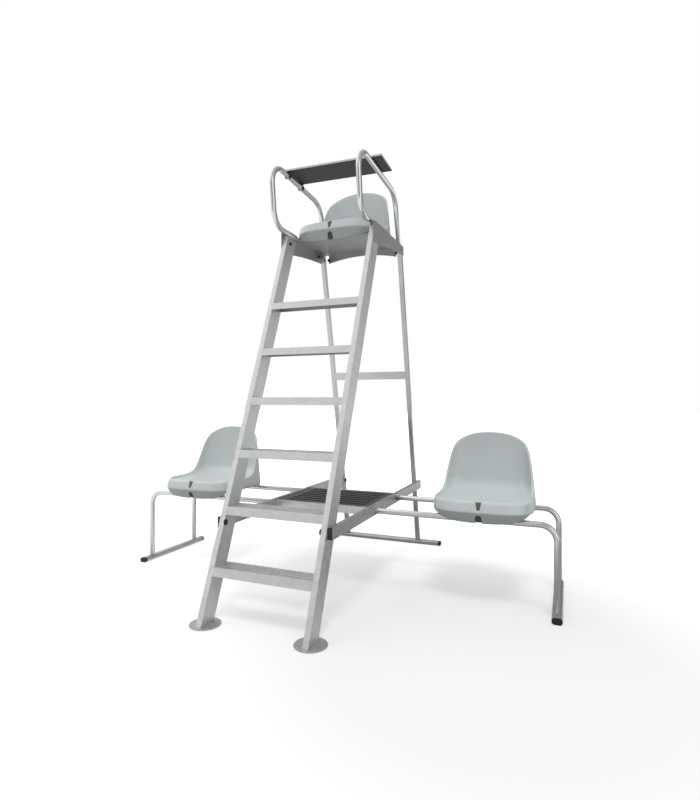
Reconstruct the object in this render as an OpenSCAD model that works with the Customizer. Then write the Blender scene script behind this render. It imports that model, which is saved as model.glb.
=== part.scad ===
// Tennis umpire chair: a raked step ladder with a high seat, and a low bench seat on each side.
// Millimetres, +Z up, +X to the sitter's left as seen from the front, front towards -Y.
// Lengths along Y are stated from the front edge of the ladder's foot, and at_origin() then moves
// the whole chair so that its origin is the bottom centre of its bounding box.

/* [Ladder] */
// Width over the two stiles
ladder_w = 517; // [500:1:640]
// Thickness of a stile, across the ladder
stile_t = 26; // [20:1:32]
// Depth of a stile, square to its length
stile_d = 84; // [66:1:104]
// Wall of the stile's box section
stile_wall = 2.5; // [2:0.5:4]
// Rake of the ladder from the vertical, in degrees
rake = 22; // [18:0.5:24]
// Height of the first tread's top
tread_first_z = 228; // [180:1:280]
// Step from one tread to the next
tread_pitch = 240; // [200:1:290]
// Height of a tread's front face
tread_h = 35; // [28:1:50]
// Wall of a tread's section
tread_wall = 3; // [2:0.5:5]
// Number of grooves in a tread's top
groove_count = 3; // [1:1:5]
// Diameter of a foot disc
foot_d = 132; // [100:1:150]
// Thickness of a foot disc
foot_t = 5; // [3:1:10]

/* [Platform] */
// Height of the platform's top
platform_z = 1833; // [1520:1:2200]
// Depth of the platform, front to back
platform_depth = 387; // [340:1:460]
// Thickness of the platform's sheet metal
sheet_t = 3; // [2:0.5:5]
// Depth of a side plate at its front end
plate_front_h = 110; // [80:1:130]
// Depth of a side plate at its rear end
plate_rear_h = 54; // [44:1:70]
// Reach of a side plate ahead of the platform's front edge
plate_reach = 129; // [110:1:150]

/* [Rear frame] */
// Side of the square tube of a rear leg
leg_w = 25; // [20:1:32]
// Wall of a rear leg
leg_wall = 2; // [1.5:0.5:3]
// Distance of a rear leg's front face from the ladder's foot, at the floor
leg_foot_y = 1590; // [1400:1:1900]
// Height of the cross rail's centre
cross_rail_z = 1087; // [800:1:1300]
// Height of the cross rail's section
cross_rail_h = 45; // [30:1:60]
// Length of the rear floor bar, over its caps
rear_bar_length = 790; // [650:1:950]

/* [Side bars and deck] */
// Height of the side bars' centre
side_bar_z = 396; // [340:1:430]
// Height of a side bar's section
side_bar_h = 50; // [44:1:60]
// Thickness of a side bar's section
side_bar_t = 20; // [16:1:30]
// Length of a side bar that passes the rear leg
side_bar_tail = 21; // [10:1:40]
// Number of ribs on the deck
deck_ribs = 8; // [4:1:12]
// Width of the deck's plain strip on each side
deck_strip = 40; // [20:1:60]

/* [Benches] */
// Diameter of the bench and handrail tube
tube_d = 27; // [22:0.5:32.5]
// Wall of the tubes
tube_wall = 2; // [1.5:0.5:3]
// Distance from the middle of the chair to a bench's legs
bench_x = 1110; // [1060:1:1300]
// Distance of the front bench tube from the ladder's foot
bench_y = 673; // [600:1:760]
// Distance between a bench's front and rear tubes
bench_spacing = 375; // [320:1:420]
// Bend radius of a bench tube, on its outside
bench_bend = 85; // [60:1:110]
// Height of the floor bars' section
floor_bar_h = 27; // [22:1:34]
// Width of the floor bars' section
floor_bar_w = 44; // [36:1:54]
// Length of a bench's floor bar, over its caps
bench_bar_length = 525; // [440:1:600]

/* [Seats] */
// Width of a seat shell at its foot
seat_w = 452; // [400:1:470]
// Depth of a seat shell, front to back
seat_depth = 430; // [380:1:460]
// Height of a seat's back above what it rests on
seat_back_h = 331; // [270:1:400]
// Height of a seat's front rim
seat_rim_h = 45; // [38:1:55]
// Wall of a seat shell
seat_wall = 5; // [3:0.5:8]
// Distance from the middle of the chair to a bench seat's middle
bench_seat_x = 785; // [640:1:830]

/* [Handrails and desk] */
// Height of the handrails' front corner above the platform
rail_h = 314; // [260:1:380]
// Overhang of the desk board beyond the right handrail's middle
desk_reach = 60; // [40:1:110]
// Depth of the desk board
desk_depth = 170; // [130:1:230]
// Thickness of the desk board
desk_t = 10; // [8:1:18]
// Gap between the left handrail's top and the desk board, which the clips bridge
desk_lift = 10; // [9:1:20]

/* [Hidden] */
$fn = 48;
EPS = 1;                 // overshoot of cutting tools
TOUCH = 0.05;            // how far a round piece is seated into a flat one
CLEARANCE = 0.3;         // play of what turns on a tube or rests on it
BEND_LAP = 0.5;          // how far a tube's straight runs into its bend
BEND_THIN = 0.2;         // how much thinner a tube is in a bend

LEFT = -1;               // the side with the desk's hinge, at -X
RIGHT = 1;

// Ladder
half_w = ladder_w / 2;
stile_y_depth = stile_d / cos(rake);
stile_cx = half_w - stile_t / 2;
tread_l = ladder_w - 2 * stile_t;
rail_seat_z = platform_z - 4;                    // centre of a handrail's bottom run
stile_top_z = rail_seat_z - tube_d / 2 + TOUCH;
foot_y = 50;                                     // centre of a foot disc
groove_w = 8;
groove_depth = 2.5;

// Platform
stile_gap = 11;                                  // from the stiles' tops to the front skirt
platform_y = stile_top_z * tan(rake) + stile_y_depth + stile_gap;
platform_rear_y = platform_y + platform_depth;
skirt_side_h = 10;
skirt_mid_h = 32;
apron_half_w = half_w - 41;
apron_side_h = plate_rear_h;
apron_mid_h = plate_rear_h / 2;
plate_corner_r = 20;
plate_flat = 0.05;                               // slope of a side plate's bottom edge at its rear

// Rear frame
leg_top_y = platform_rear_y - 45;                // a rear leg's front face, under the platform
leg_top_z = platform_z - sheet_t;
leg_slope = (leg_foot_y - leg_top_y) / leg_top_z;
leg_y_depth = leg_w * sqrt(1 + leg_slope * leg_slope);
cross_rail_t = 20;
cap_l = 14;                                      // length of a floor bar's end cap
rear_bar_y = leg_foot_y - floor_bar_h * leg_slope + leg_y_depth / 2 + 6;

// Side bars
bar_wall = 2;
bar_cap_t = 4;
side_bar_y0 = side_bar_z * tan(rake) + 21;
side_bar_y1 = leg_foot_y - side_bar_z * leg_slope + leg_y_depth + side_bar_tail;

// Deck
deck_bar_t = 20;
deck_y0 = bench_y - 28;
deck_y1 = bench_y + bench_spacing + 37;
deck_bar_h = side_bar_h - 13;
deck_top_z = side_bar_z + side_bar_h / 2 - 7;
deck_base_t = 4;
deck_rib_h = 9;
deck_rib_w = 22;

// Benches
bench_tube_z = side_bar_z;
seat_rail_z0 = bench_tube_z + tube_d / 2 - TOUCH;
seat_rail_h = 32;
seat_rail_w = 14;
seat_rail_offset = 161.5;
bench_seat_z = seat_rail_z0 + seat_rail_h;
bench_bar_y = bench_y + bench_spacing / 2 + 1;

// Seats
seat_taper = 0.1;                                // how much a side wall leans in, per height
seat_square = 3.8;                               // squareness of the plan's front: 2 is an ellipse
seat_square_rear = 6;                            // squareness of the plan's rear
rim_setback = 16;                                // lean of the front wall, over its height
arch_spring = seat_back_h - 131;                 // where the back's outline leaves the side walls
arch_square = 2.3;
pan_z0 = 16;
pan_z1 = 22;
chin_h = 53;
chin_t = 6;
chin_setback = 25;
chin_span = 0.9;                                 // width of the lip, as a part of the seat's
foot_rib_w = seat_rail_w;
notch_w = 31;                                    // drain notch in the front rim
notch_floor_w = 11;
slot_w = 28;                                     // drain slot in the lip
lip_gap = 0.6;                                   // between the lip and the front bench tube
lip_room = seat_corner(seat_rail_offset + seat_rail_w / 2, chin_t + chin_setback * 2 / 3);
bench_seat_y = bench_y - tube_d / 2 - lip_room - lip_gap;
top_seat_y = platform_y - lip_room - 36.1;       // the top seat stands this much further forward

// Handrails, as corners of the tube's centre line in [y, z], with the bend radius of each
rail_x = half_w - 9 - tube_d / 2;
rail_front_y = platform_y - 278;
rail_rear_y = platform_y + 295;
rail_top_z = platform_z + rail_h;
rail_drop = 34;                                  // fall of the top run from front to back
rail_points = [
    [platform_y - 18, rail_seat_z],
    [rail_front_y + 40, rail_seat_z],
    [rail_front_y, rail_top_z],
    [rail_rear_y, rail_top_z - rail_drop],
    [rail_rear_y + 77, platform_z]
];
rail_radii = [90, 75, 110];
rail_tail = 30;                                  // cut off again level with the platform
rail_slope = atan2(rail_drop, rail_rear_y - rail_front_y);

// Desk: its own frame has X across, Y along the handrail's top run and Z square to both,
// with its origin on the left handrail's centre line
desk_y0 = platform_y - 110;
desk_edge = 16;                                  // from the left handrail's centre line to the edge
desk_w = desk_edge + 2 * rail_x + desk_reach;
desk_under_left = tube_d / 2 + desk_lift;
desk_under_right = tube_d / 2 + CLEARANCE;
desk_tilt = asin((desk_under_left - desk_under_right) / (2 * rail_x));
clip_length = 15;
clip_wall = 4;
clip_plate_w = 30;
clip_plate_t = 4;
clip_neck_w = 12;
clip_mouth = 70;                                 // opening of a clip's ring, in degrees
clip_inset = 3;
clip_front_y = clip_inset;
clip_rear_y = desk_depth - clip_inset - clip_length;

// The origin: bottom centre of the whole chair
front_y = foot_y - foot_d / 2;
rear_y = rear_bar_y + floor_bar_w / 2;
mid_y = (front_y + rear_y) / 2;

// Front face of the ladder at height z, and of the rear legs
function stile_y(z) = z * tan(rake);
function leg_y(z) = leg_foot_y - z * leg_slope;

// Bending a tube: heading of a segment, turn between two headings, length a bend takes
function heading(a, b) = atan2(b[1] - a[1], b[0] - a[0]);
function turn(a, b) = b - a > 180 ? b - a - 360 : b - a < -180 ? b - a + 360 : b - a;
function bend_turn(pts, i) = turn(heading(pts[i - 1], pts[i]), heading(pts[i], pts[i + 1]));
function bend_cut(pts, radii, i) =
    i < 1 || i > len(pts) - 2 ? 0 : radii[i - 1] * tan(abs(bend_turn(pts, i)) / 2);

module at_origin() {
    translate([0, -mid_y, 0]) children();
}

// Box between two corners
module block(lo, hi) {
    translate(lo) cube([hi[0] - lo[0], hi[1] - lo[1], hi[2] - lo[2]]);
}

// Tube of outer diameter d bent in the XY plane along corner points
module bent_tube(pts, radii, d, wall) {
    translate([pts[0][0], pts[0][1], 0])
        rotate([0, 0, heading(pts[0], pts[1])]) tube_from(0, pts, radii, d, wall);
}

// The rest of a bent tube, from the start of its straight number i, which runs along +X
module tube_from(i, pts, radii, d, wall) {
    length = norm(pts[i + 1] - pts[i]) - bend_cut(pts, radii, i) - bend_cut(pts, radii, i + 1);
    lap0 = i > 0 ? BEND_LAP : 0;
    lap1 = i < len(pts) - 2 ? BEND_LAP : 0;
    translate([-lap0, 0, 0])
        rotate([90, 0, 90])
            difference() {
                cylinder(h = length + lap0 + lap1, d = d);
                translate([0, 0, -EPS]) cylinder(h = length + lap0 + lap1 + 2 * EPS, d = d - 2 * wall);
            }
    if (i < len(pts) - 2) {
        t = bend_turn(pts, i + 1);
        r = radii[i];
        flip = [0, t < 0 ? 1 : 0, 0];
        translate([length, 0, 0])
            mirror(flip)
                translate([0, r, 0]) {
                    rotate([0, 0, -90])
                        rotate_extrude(angle = abs(t))
                            translate([r, 0])
                                difference() {
                                    circle(d = d - BEND_THIN);
                                    circle(d = d - 2 * wall + BEND_THIN);
                                }
                    rotate([0, 0, abs(t)])
                        translate([0, -r, 0])
                            mirror(flip) tube_from(i + 1, pts, radii, d, wall);
                }
    }
}

// Puts a shape drawn in [y, z] into the plane x = 0, its thickness t towards +X
module upright(t) {
    rotate([90, 0, 90]) linear_extrude(t) children();
}

// Flat-oval section of a floor bar, lying on y = 0
module floor_section(shrink = 0) {
    r = floor_bar_h / 2;
    span = floor_bar_w / 2 - r;
    translate([0, r])
        union() {
            for (side = [-1, 1]) translate([side * span, 0]) circle(r = r - shrink);
            square([2 * span, 2 * (r - shrink)], center = true);
        }
}

// Floor bar along Y, centred on the origin, between its two caps
module floor_bar(length) {
    l = length - 2 * cap_l;
    rotate([90, 0, 0])
        translate([0, 0, -l / 2])
            difference() {
                linear_extrude(l) floor_section();
                translate([0, 0, -EPS]) linear_extrude(l + 2 * EPS) floor_section(tube_wall);
            }
}

module floor_bar_caps(length) {
    for (side = [-1, 1])
        rotate([90, 0, 0])
            translate([0, 0, side * (length - cap_l) / 2 - cap_l / 2])
                linear_extrude(cap_l) floor_section();
}

// Ladder

// Side view of a stile between two heights, in [y, z]
module stile_outline(z0, z1, inset) {
    dy = inset / cos(rake);
    polygon([
        [stile_y(z0) + dy, z0],
        [stile_y(z0) + stile_y_depth - dy, z0],
        [stile_y(z1) + stile_y_depth - dy, z1],
        [stile_y(z1) + dy, z1]
    ]);
}

module stile(side) {
    color("lightgray")
        at_origin()
            translate([side * stile_cx, 0, 0])
                difference() {
                    translate([-stile_t / 2, 0, 0])
                        upright(stile_t) stile_outline(foot_t, stile_top_z, 0);
                    translate([-stile_t / 2 + stile_wall, 0, 0])
                        upright(stile_t - 2 * stile_wall)
                            stile_outline(foot_t + stile_wall, stile_top_z - stile_wall, stile_wall);
                }
}

// Tread number n, counted from 1 at the bottom
module tread(n) {
    z1 = tread_first_z + (n - 1) * tread_pitch;
    z0 = z1 - tread_h;
    lip = tread_wall / cos(rake);
    pitch = stile_y_depth / (groove_count + 1);
    color("gainsboro")
        at_origin()
            difference() {
                translate([-tread_l / 2, 0, 0])
                    upright(tread_l)
                        polygon([
                            [stile_y(z0), z0],
                            [stile_y(z0) + lip, z0],
                            [stile_y(z1 - tread_wall) + lip, z1 - tread_wall - groove_depth],
                            [stile_y(z1) + stile_y_depth - lip, z1 - tread_wall - groove_depth],
                            [stile_y(z0) + stile_y_depth - lip, z0],
                            [stile_y(z0) + stile_y_depth, z0],
                            [stile_y(z1) + stile_y_depth, z1],
                            [stile_y(z1), z1]
                        ]);
                for (i = [1 : groove_count])
                    translate([0, stile_y(z1) + i * pitch, z1])
                        cube([tread_l + 2 * EPS, groove_w, 2 * groove_depth], center = true);
            }
}

module foot_disc(side) {
    color("rosybrown")
        at_origin()
            translate([side * stile_cx, foot_y, 0]) cylinder(h = foot_t, d = foot_d);
}

// Platform

// Sheet with a bowed front skirt and an arched rear apron, bent from one piece
module platform() {
    steps = 12;
    color("lightgray")
        at_origin()
            union() {
                block([-half_w, platform_y, platform_z - sheet_t], [half_w, platform_rear_y, platform_z]);
                translate([0, platform_y + sheet_t, 0])
                    rotate([90, 0, 0])
                        linear_extrude(sheet_t)
                            polygon(concat(
                                [[half_w, platform_z], [-half_w, platform_z]],
                                [for (i = [0 : steps])
                                    let (u = -1 + 2 * i / steps)
                                    [u * half_w, platform_z - skirt_mid_h
                                        + (skirt_mid_h - skirt_side_h) * u * u]]
                            ));
                translate([0, platform_rear_y, 0])
                    rotate([90, 0, 0])
                        linear_extrude(sheet_t)
                            polygon(concat(
                                [[apron_half_w, platform_z], [-apron_half_w, platform_z]],
                                [for (i = [0 : steps])
                                    let (u = -1 + 2 * i / steps)
                                    [u * apron_half_w, platform_z - apron_mid_h
                                        - (apron_side_h - apron_mid_h) * u * u]]
                            ));
            }
}

// Plate on the outside of a stile, the platform and a rear leg
module side_plate(side) {
    steps = 12;
    y0 = platform_y - plate_reach;
    length = plate_reach + platform_depth;
    curved = length - plate_corner_r * 2;
    curve = (plate_front_h - plate_rear_h - plate_flat * curved) / (curved * curved);
    color("silver")
        at_origin()
            translate([side > 0 ? half_w : -half_w - sheet_t, 0, 0])
                upright(sheet_t)
                    union() {
                        polygon(concat(
                            [[platform_rear_y, platform_z], [y0, platform_z],
                             [y0, platform_z - plate_front_h + plate_corner_r]],
                            [[y0 + plate_corner_r, platform_z - plate_front_h + plate_corner_r],
                             [y0 + plate_corner_r, platform_z - plate_front_h]],
                            [for (i = [0 : steps])
                                let (d = curved * (1 - i / steps))
                                [platform_rear_y - d,
                                 platform_z - plate_rear_h - plate_flat * d - curve * d * d]]
                        ));
                        translate([y0 + plate_corner_r, platform_z - plate_front_h + plate_corner_r])
                            circle(r = plate_corner_r);
                    }
}

// Rear frame

module rear_leg(side) {
    color("silver")
        at_origin()
            translate([side * (half_w - leg_w / 2), 0, 0])
                difference() {
                    translate([-leg_w / 2, 0, 0])
                        upright(leg_w) leg_outline(floor_bar_h, leg_top_z, 0);
                    translate([-leg_w / 2 + leg_wall, 0, 0])
                        upright(leg_w - 2 * leg_wall)
                            leg_outline(floor_bar_h - EPS, leg_top_z - leg_wall, leg_wall);
                }
}

// Side view of a rear leg between two heights, in [y, z]
module leg_outline(z0, z1, inset) {
    dy = inset * leg_y_depth / leg_w;
    polygon([
        [leg_y(z0) + dy, z0],
        [leg_y(z0) + leg_y_depth - dy, z0],
        [leg_y(z1) + leg_y_depth - dy, z1],
        [leg_y(z1) + dy, z1]
    ]);
}

module cross_rail() {
    z0 = cross_rail_z - cross_rail_h / 2;
    z1 = cross_rail_z + cross_rail_h / 2;
    length = ladder_w - 2 * leg_w;
    depth = cross_rail_t * leg_y_depth / leg_w;
    wall = leg_wall * leg_y_depth / leg_w;
    color("silver")
        at_origin()
            difference() {
                translate([-length / 2, 0, 0])
                    upright(length)
                        polygon([
                            [leg_y(z0), z0],
                            [leg_y(z0) + depth, z0],
                            [leg_y(z1) + depth, z1],
                            [leg_y(z1), z1]
                        ]);
                translate([-length / 2 - EPS, 0, 0])
                    upright(length + 2 * EPS)
                        polygon([
                            [leg_y(z0 + leg_wall) + wall, z0 + leg_wall],
                            [leg_y(z0 + leg_wall) + depth - wall, z0 + leg_wall],
                            [leg_y(z1 - leg_wall) + depth - wall, z1 - leg_wall],
                            [leg_y(z1 - leg_wall) + wall, z1 - leg_wall]
                        ]);
            }
}

module rear_floor_bar() {
    color("whitesmoke")
        at_origin()
            translate([0, rear_bar_y, 0])
                rotate([0, 0, 90]) floor_bar(rear_bar_length);
}

module rear_bar_caps() {
    color("black")
        at_origin()
            translate([0, rear_bar_y, 0])
                rotate([0, 0, 90]) floor_bar_caps(rear_bar_length);
}

// Side bars and deck

module side_bar(side) {
    x0 = side > 0 ? half_w : -half_w - side_bar_t;
    z0 = side_bar_z - side_bar_h / 2;
    color("gray")
        at_origin()
            difference() {
                block([x0, side_bar_y0, z0], [x0 + side_bar_t, side_bar_y1, z0 + side_bar_h]);
                block(
                    [x0 + bar_wall, side_bar_y0 - EPS, z0 + bar_wall],
                    [x0 + side_bar_t - bar_wall, side_bar_y1 + EPS, z0 + side_bar_h - bar_wall]
                );
            }
}

module side_bar_caps() {
    z0 = side_bar_z - side_bar_h / 2;
    color("black")
        at_origin()
            for (x0 = [-half_w - side_bar_t, half_w])
                for (y0 = [side_bar_y0 - bar_cap_t, side_bar_y1])
                    block([x0, y0, z0], [x0 + side_bar_t, y0 + bar_cap_t, z0 + side_bar_h]);
}

module deck_bar(y0) {
    z1 = side_bar_z + side_bar_h / 2 - 7;
    z0 = z1 - deck_bar_h;
    color("whitesmoke")
        at_origin()
            difference() {
                block([-half_w, y0, z0], [half_w, y0 + deck_bar_t, z1]);
                block(
                    [-half_w - EPS, y0 + bar_wall, z0 + bar_wall],
                    [half_w + EPS, y0 + deck_bar_t - bar_wall, z1 - bar_wall]
                );
            }
}

module deck_grating() {
    y0 = deck_y0 + deck_bar_t;
    y1 = deck_y1 - deck_bar_t;
    base_z1 = deck_top_z - deck_rib_h;
    pitch = (y1 - y0) / deck_ribs;
    color("dimgray")
        at_origin()
            union() {
                block([-half_w, y0, base_z1 - deck_base_t], [half_w, y1, base_z1]);
                for (i = [0 : deck_ribs - 1])
                    translate([0, y0 + (i + 0.5) * pitch, base_z1 + deck_rib_h / 2])
                        cube([ladder_w - 2 * deck_strip, deck_rib_w, deck_rib_h], center = true);
                for (x0 = [-half_w, half_w - deck_strip])
                    block([x0, y0, base_z1], [x0 + deck_strip, y1, deck_top_z]);
            }
}

// Benches

// Tube from a side bar out to its bend and down to the floor bar
module bench_tube(side, y) {
    inner_x = half_w + side_bar_t;
    color("silver")
        at_origin()
            translate([0, y, 0])
                mirror([side > 0 ? 0 : 1, 0, 0])
                    rotate([90, 0, 0])
                        bent_tube(
                            [[inner_x, bench_tube_z], [bench_x, bench_tube_z], [bench_x, floor_bar_h - TOUCH]],
                            [bench_bend - tube_d / 2], tube_d, tube_wall
                        );
}

module bench_floor_bar(side) {
    color("whitesmoke")
        at_origin()
            translate([side * bench_x, bench_bar_y, 0]) floor_bar(bench_bar_length);
}

module bench_bar_caps() {
    color("black")
        at_origin()
            for (side = [LEFT, RIGHT])
                translate([side * bench_x, bench_bar_y, 0]) floor_bar_caps(bench_bar_length);
}

module seat_rails(side) {
    y0 = bench_y - 18;
    y1 = bench_y + bench_spacing + 17;
    color("silver")
        at_origin()
            for (offset_x = [-seat_rail_offset, seat_rail_offset])
                translate([side * bench_seat_x + offset_x - seat_rail_w / 2, y0, seat_rail_z0])
                    difference() {
                        cube([seat_rail_w, y1 - y0, seat_rail_h]);
                        translate([bar_wall, -EPS, bar_wall])
                            cube([
                                seat_rail_w - 2 * bar_wall,
                                y1 - y0 + 2 * EPS,
                                seat_rail_h - 2 * bar_wall
                            ]);
                    }
}

// Seats: a tub with its front-most point at y = 0, resting on z = 0

// Half the width of the shell at height z
function seat_half(z) = seat_w / 2 - seat_taper * z;

// How far back the inside of the rounded front is at x from the middle, at an inset from the plan
function seat_corner(x, inset) =
    inset
    + (seat_depth / 2 - inset)
        * (1 - pow(1 - pow(x / (seat_w / 2 - inset), seat_square), 1 / seat_square));

// Point of a superellipse at angle t
function squared(a, b, n, t) = [
    a * sign(cos(t)) * pow(abs(cos(t)), 2 / n),
    b * sign(sin(t)) * pow(abs(sin(t)), 2 / n)
];

module seat_plan(inset) {
    a = seat_w / 2 - inset;
    b = seat_depth / 2 - inset;
    translate([0, seat_depth / 2])
        polygon([
            for (i = [0 : 39])
                squared(a, b, i < 20 ? seat_square_rear : seat_square, i * 9)
        ]);
}

module seat_prism(z0, z1, inset) {
    translate([0, 0, z0]) linear_extrude(z1 - z0) seat_plan(inset);
}

// Puts a shape drawn in [x, z] through the whole depth of the seat
module through_seat(y0 = -seat_depth) {
    translate([0, 2 * seat_depth, 0])
        rotate([90, 0, 0]) linear_extrude(2 * seat_depth - y0) children();
}

// Front view: leaning side walls under an arched back
module seat_front() {
    a = seat_half(arch_spring);
    b = seat_back_h - arch_spring;
    polygon(concat(
        [[-seat_half(0), 0], [seat_half(0), 0]],
        [for (i = [0 : 20]) [0, arch_spring] + squared(a, b, arch_square, i * 9)]
    ));
}

// Front view of the room between the side walls, open at the top
module seat_room(z0, z1) {
    polygon([
        [-seat_half(z0) + seat_wall, z0], [seat_half(z0) - seat_wall, z0],
        [seat_half(z1) - seat_wall, z1], [-seat_half(z1) + seat_wall, z1]
    ]);
}

// Side view below the rim, from the low front up along the wings to the top of the back
module seat_side() {
    rise = seat_back_h - seat_rim_h;
    y0 = seat_depth;
    polygon([
        [y0 + EPS, 0], [0, 0], [rim_setback, seat_rim_h], [y0 - 190, seat_rim_h],
        [y0 - 158, seat_rim_h + 0.02 * rise], [y0 - 138, seat_rim_h + 0.045 * rise],
        [y0 - 122, seat_rim_h + 0.075 * rise], [y0 - 110, seat_rim_h + 0.11 * rise],
        [y0 - 102, seat_rim_h + 0.15 * rise], [y0 - 92, seat_rim_h + 0.19 * rise],
        [y0 - 80, seat_rim_h + 0.31 * rise], [y0 - 62, seat_rim_h + 0.48 * rise],
        [y0 - 42, seat_rim_h + 0.65 * rise], [y0 - 22, seat_rim_h + 0.8 * rise],
        [y0 - 10, seat_rim_h + rise], [y0 + EPS, seat_rim_h + rise]
    ]);
}

// Side view of the space behind the leaning front wall, between two heights
module behind_front(z0, z1) {
    lean = rim_setback / seat_rim_h;
    polygon([
        [seat_wall + lean * z0, z0], [seat_wall + lean * z1, z1],
        [2 * seat_depth, z1], [2 * seat_depth, z0]
    ]);
}

module seat_shell() {
    top = seat_back_h + EPS;
    difference() {
        intersection() {
            seat_prism(0, seat_back_h, 0);
            through_seat() seat_front();
            translate([-seat_w, 0, 0]) upright(2 * seat_w) seat_side();
        }
        intersection() {
            seat_prism(pan_z1, top, seat_wall);
            through_seat() seat_room(pan_z1, top);
            translate([-seat_w, 0, 0]) upright(2 * seat_w) behind_front(pan_z1, top);
        }
        intersection() {
            seat_prism(-EPS, pan_z0, seat_wall);
            through_seat() seat_room(-EPS, pan_z0);
            translate([-seat_w, 0, 0]) upright(2 * seat_w) behind_front(-EPS, pan_z0);
            difference() {
                block([-seat_w, -EPS, -EPS], [seat_w, 2 * seat_depth, pan_z0]);
                for (side = [-1, 1])
                    translate([side * seat_rail_offset, seat_depth / 2, 0])
                        cube([foot_rib_w, 2 * seat_depth, 3 * pan_z0], center = true);
            }
        }
    }
}

// Lip below the front rim: it slopes back, and is deepest in the middle
module seat_lip() {
    span = chin_span * seat_w / 2;
    intersection() {
        difference() {
            hull() {
                seat_prism(-EPS, 0, 0);
                seat_prism(-chin_h, EPS - chin_h, chin_setback);
            }
            hull() {
                seat_prism(0, EPS, chin_t);
                seat_prism(-chin_h - EPS, -chin_h, chin_setback + chin_t);
            }
        }
        translate([0, seat_depth / 4, 0])
            rotate([90, 0, 0])
                linear_extrude(seat_depth)
                    polygon([for (i = [0 : 20]) squared(span, chin_h, 2.6, 180 + i * 9)]);
    }
}

// Drain notch in the front rim and slot in the lip, in [x, z]
module seat_drain() {
    polygon([
        [-notch_w / 2, seat_rim_h + EPS], [notch_w / 2, seat_rim_h + EPS],
        [notch_floor_w / 2, 3], [-notch_floor_w / 2, 3]
    ]);
    translate([-slot_w / 2, -chin_h - EPS]) square([slot_w, chin_h - 9]);
}

module seat(x, y, z) {
    color("lightblue")
        at_origin()
            translate([x, y, z])
                difference() {
                    union() {
                        seat_shell();
                        seat_lip();
                    }
                    translate([0, rim_setback + seat_wall, 0])
                        rotate([90, 0, 0])
                            linear_extrude(2 * seat_wall + rim_setback) seat_drain();
                }
}

// Handrails and desk

module handrail(side) {
    last = len(rail_points) - 1;
    a = heading(rail_points[last - 1], rail_points[last]);
    tail = rail_points[last] + rail_tail * [cos(a), sin(a)];
    pts = [for (i = [0 : last]) i < last ? rail_points[i] : tail];
    color("silver")
        at_origin()
            translate([side * rail_x, 0, 0])
                difference() {
                    rotate([90, 0, 90]) bent_tube(pts, rail_radii, tube_d, tube_wall);
                    block(
                        [-tube_d, platform_rear_y - 100, platform_z - 4 * rail_tail],
                        [tube_d, platform_rear_y + 100, platform_z]
                    );
                }
}

// Puts a shape drawn in the desk's frame in its place
module at_desk() {
    s = desk_y0 - rail_front_y;
    at_origin()
        translate([LEFT * rail_x, desk_y0, rail_top_z - s * tan(rail_slope)])
            rotate([-rail_slope, 0, 0])
                rotate([0, desk_tilt, 0]) children();
}

module desk_board() {
    color("dimgray")
        at_desk()
            block([-desk_edge, 0, desk_under_left], [desk_w - desk_edge, desk_depth, desk_under_left + desk_t]);
}

// Ring that turns on the handrail, open at the bottom, with a neck up to a plate under the board
module desk_clip(y0) {
    r = tube_d / 2 + CLEARANCE;
    outer = r + clip_wall;
    color("black")
        at_desk()
            translate([0, y0 + clip_length, 0])
                rotate([90, 0, 0])
                    linear_extrude(clip_length)
                        difference() {
                            union() {
                                circle(r = outer);
                                translate([-clip_neck_w / 2, 0]) square([clip_neck_w, desk_under_left]);
                                translate([-clip_plate_w / 2, desk_under_left - clip_plate_t])
                                    square([clip_plate_w, clip_plate_t]);
                            }
                            circle(r = r);
                            polygon([
                                [0, 0],
                                [-2 * outer * tan(clip_mouth / 2), -2 * outer],
                                [2 * outer * tan(clip_mouth / 2), -2 * outer]
                            ]);
                        }
}

stile(LEFT);  // stile_left
stile(RIGHT);  // stile_right
tread(1);  // tread_1
tread(2);  // tread_2
tread(3);  // tread_3
tread(4);  // tread_4
tread(5);  // tread_5
tread(6);  // tread_6
foot_disc(LEFT);  // foot_disc_left
foot_disc(RIGHT);  // foot_disc_right
platform();
side_plate(LEFT);  // side_plate_left
side_plate(RIGHT);  // side_plate_right
rear_leg(LEFT);  // rear_leg_left
rear_leg(RIGHT);  // rear_leg_right
cross_rail();
rear_floor_bar();
rear_bar_caps();
side_bar(LEFT);  // side_bar_left
side_bar(RIGHT);  // side_bar_right
side_bar_caps();
deck_bar(deck_y0);  // deck_front_bar
deck_bar(deck_y1 - deck_bar_t);  // deck_rear_bar
deck_grating();
bench_tube(LEFT, bench_y);  // bench_left_front_tube
bench_tube(LEFT, bench_y + bench_spacing);  // bench_left_rear_tube
bench_tube(RIGHT, bench_y);  // bench_right_front_tube
bench_tube(RIGHT, bench_y + bench_spacing);  // bench_right_rear_tube
bench_floor_bar(LEFT);  // bench_left_floor_bar
bench_floor_bar(RIGHT);  // bench_right_floor_bar
bench_bar_caps();
seat_rails(LEFT);  // bench_left_seat_rails
seat_rails(RIGHT);  // bench_right_seat_rails
seat(0, top_seat_y, platform_z);  // seat_top
seat(LEFT * bench_seat_x, bench_seat_y, bench_seat_z);  // seat_left
seat(RIGHT * bench_seat_x, bench_seat_y, bench_seat_z);  // seat_right
handrail(LEFT);  // handrail_left
handrail(RIGHT);  // handrail_right
desk_board();
desk_clip(clip_front_y);  // desk_clip_front
desk_clip(clip_rear_y);  // desk_clip_rear
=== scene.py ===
import math

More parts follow.
